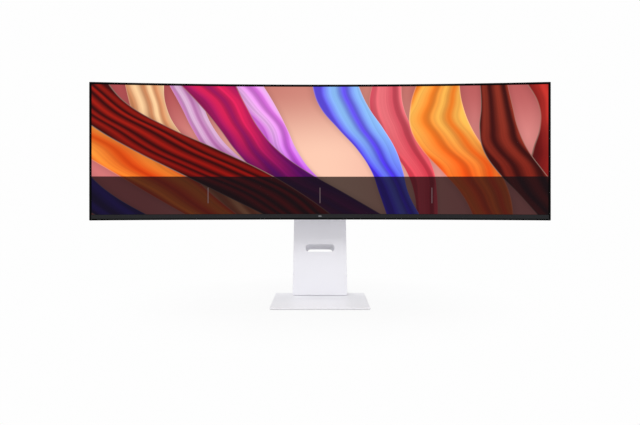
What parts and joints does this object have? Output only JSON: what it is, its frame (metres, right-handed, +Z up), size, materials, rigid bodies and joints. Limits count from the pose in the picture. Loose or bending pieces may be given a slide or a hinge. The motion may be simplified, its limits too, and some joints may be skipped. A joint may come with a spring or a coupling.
{
  "type": "computer monitor",
  "caption": "Curved ultrawide computer monitor with a thin dark frame, on a white flat neck with a cable slot and a thin rectangular base; swivels, tilts and moves up and down.",
  "frame": {"origin": "on the desk under the middle of the base plate", "axes": "+Z up, the screen faces -Y, +X to the right of a person in front of the screen; the display is at the top of its travel, upright and facing straight ahead"},
  "size_m": [1.215, 0.25, 0.5944],
  "materials": {
    "gloss_black_plastic": "black frame around the glass",
    "dark_grey_plastic": "strip under the glass and port plates",
    "badge_metal": "blank satin badge",
    "screen": "lit screen behind anti-glare glass",
    "white_plastic": "fine texture, white",
    "white_metal": "white powder coat",
    "steel": "zinc-plated steel",
    "cast_aluminium": "as-cast aluminium",
    "black_plastic": "moulded plastic",
    "film": "clear and white optical sheet",
    "circuit_board": "green solder mask",
    "rubber": "soft rubber",
    "bearing_plastic": "low-friction plastic"
  },
  "bodies": {
    "base": {"base_plate": "white_metal", "base_pads": "rubber", "base_screws": "steel", "swivel_post": "steel", "swivel_washers": "bearing_plastic", "swivel_nut": "steel", "stop_pin": "steel"},
    "neck": {"neck_foot": "cast_aluminium", "neck_frame": "steel", "neck_screws": "steel", "neck_front_cover": "white_plastic", "neck_rear_cover": "white_plastic", "cable_tunnel": "white_plastic", "slide_rails": "steel", "spring_tapes": "steel"},
    "carriage": {"carriage": "cast_aluminium", "slide_bushings": "bearing_plastic", "drum_axle": "steel"},
    "spring_drum": {"drum_hub": "black_plastic", "spring_coils": "steel"},
    "display": {"front_frame": "gloss_black_plastic", "chin_trim": "dark_grey_plastic", "chin_badge": "badge_metal", "lcd_panel": "screen", "panel_frame": "black_plastic", "optical_sheets": "film", "light_guide": "film", "reflector_sheet": "film", "led_strip": "circuit_board", "panel_chassis": "steel", "panel_driver_boards": "circuit_board", "panel_cables": "black_plastic", "rear_cover": "white_plastic", "rear_cover_screws": "steel", "vesa_bracket": "steel", "bracket_screws": "steel", "board_tray": "steel", "main_board": "circuit_board", "power_board": "circuit_board", "network_port": "steel", "usb_ports": "steel", "video_ports": "steel", "audio_jack": "black_plastic", "io_bezel": "dark_grey_plastic", "mains_inlet": "black_plastic", "speaker_boxes": "black_plastic", "speaker_cones": "black_plastic", "joystick_housing": "black_plastic", "joystick_board": "circuit_board", "head_plate": "steel", "tilt_bracket": "steel", "tilt_shaft": "steel", "tilt_washers": "bearing_plastic", "head_cover": "white_plastic"},
    "release": {"release_button": "white_plastic", "release_latch": "steel"},
    "joystick_ring": {"joystick_gimbal": "steel"},
    "joystick_tilt": {"joystick_rocker": "black_plastic"},
    "joystick_button": {"joystick_stem": "black_plastic", "joystick_cap": "black_plastic"}
  },
  "joints": [
    {"name": "swivel", "type": "hinge", "parent": "base", "child": "neck", "pos_m": [0, 0.095, 0.0062], "axis": [0, 0, 1], "range_deg": [-15, 15]},
    {"name": "height", "type": "slide", "parent": "neck", "child": "carriage", "axis": [0, 0, 1], "range_m": [-0.11, 0], "deforming": ["spring_tapes"]},
    {"name": "drum_turn", "type": "hinge", "parent": "carriage", "child": "spring_drum", "pos_m": [0, 0.095, 0.355], "axis": [1, 0, 0], "range_deg": [-5, 530]},
    {"name": "tilt", "type": "hinge", "parent": "carriage", "child": "display", "pos_m": [0, 0.058, 0.4], "axis": [-1, 0, 0], "range_deg": [-5, 15]},
    {"name": "release_press", "type": "slide", "parent": "display", "child": "release", "axis": [0, 0, 1], "range_m": [0, 0.003]},
    {"name": "joystick_side", "type": "hinge", "parent": "display", "child": "joystick_ring", "pos_m": [0, -0.009, 0.25], "axis": [0, 1, 0], "range_deg": [-6, 6]},
    {"name": "joystick_fore", "type": "hinge", "parent": "joystick_ring", "child": "joystick_tilt", "pos_m": [0, -0.009, 0.25], "axis": [1, 0, 0], "range_deg": [-6, 6]},
    {"name": "joystick_press", "type": "slide", "parent": "joystick_tilt", "child": "joystick_button", "axis": [0, 0, 1], "range_m": [0, 0.0008]}
  ],
  "couplings": [
    {"joint": "drum_turn", "follows": "height", "rad_per_m": -83.333}
  ]
}
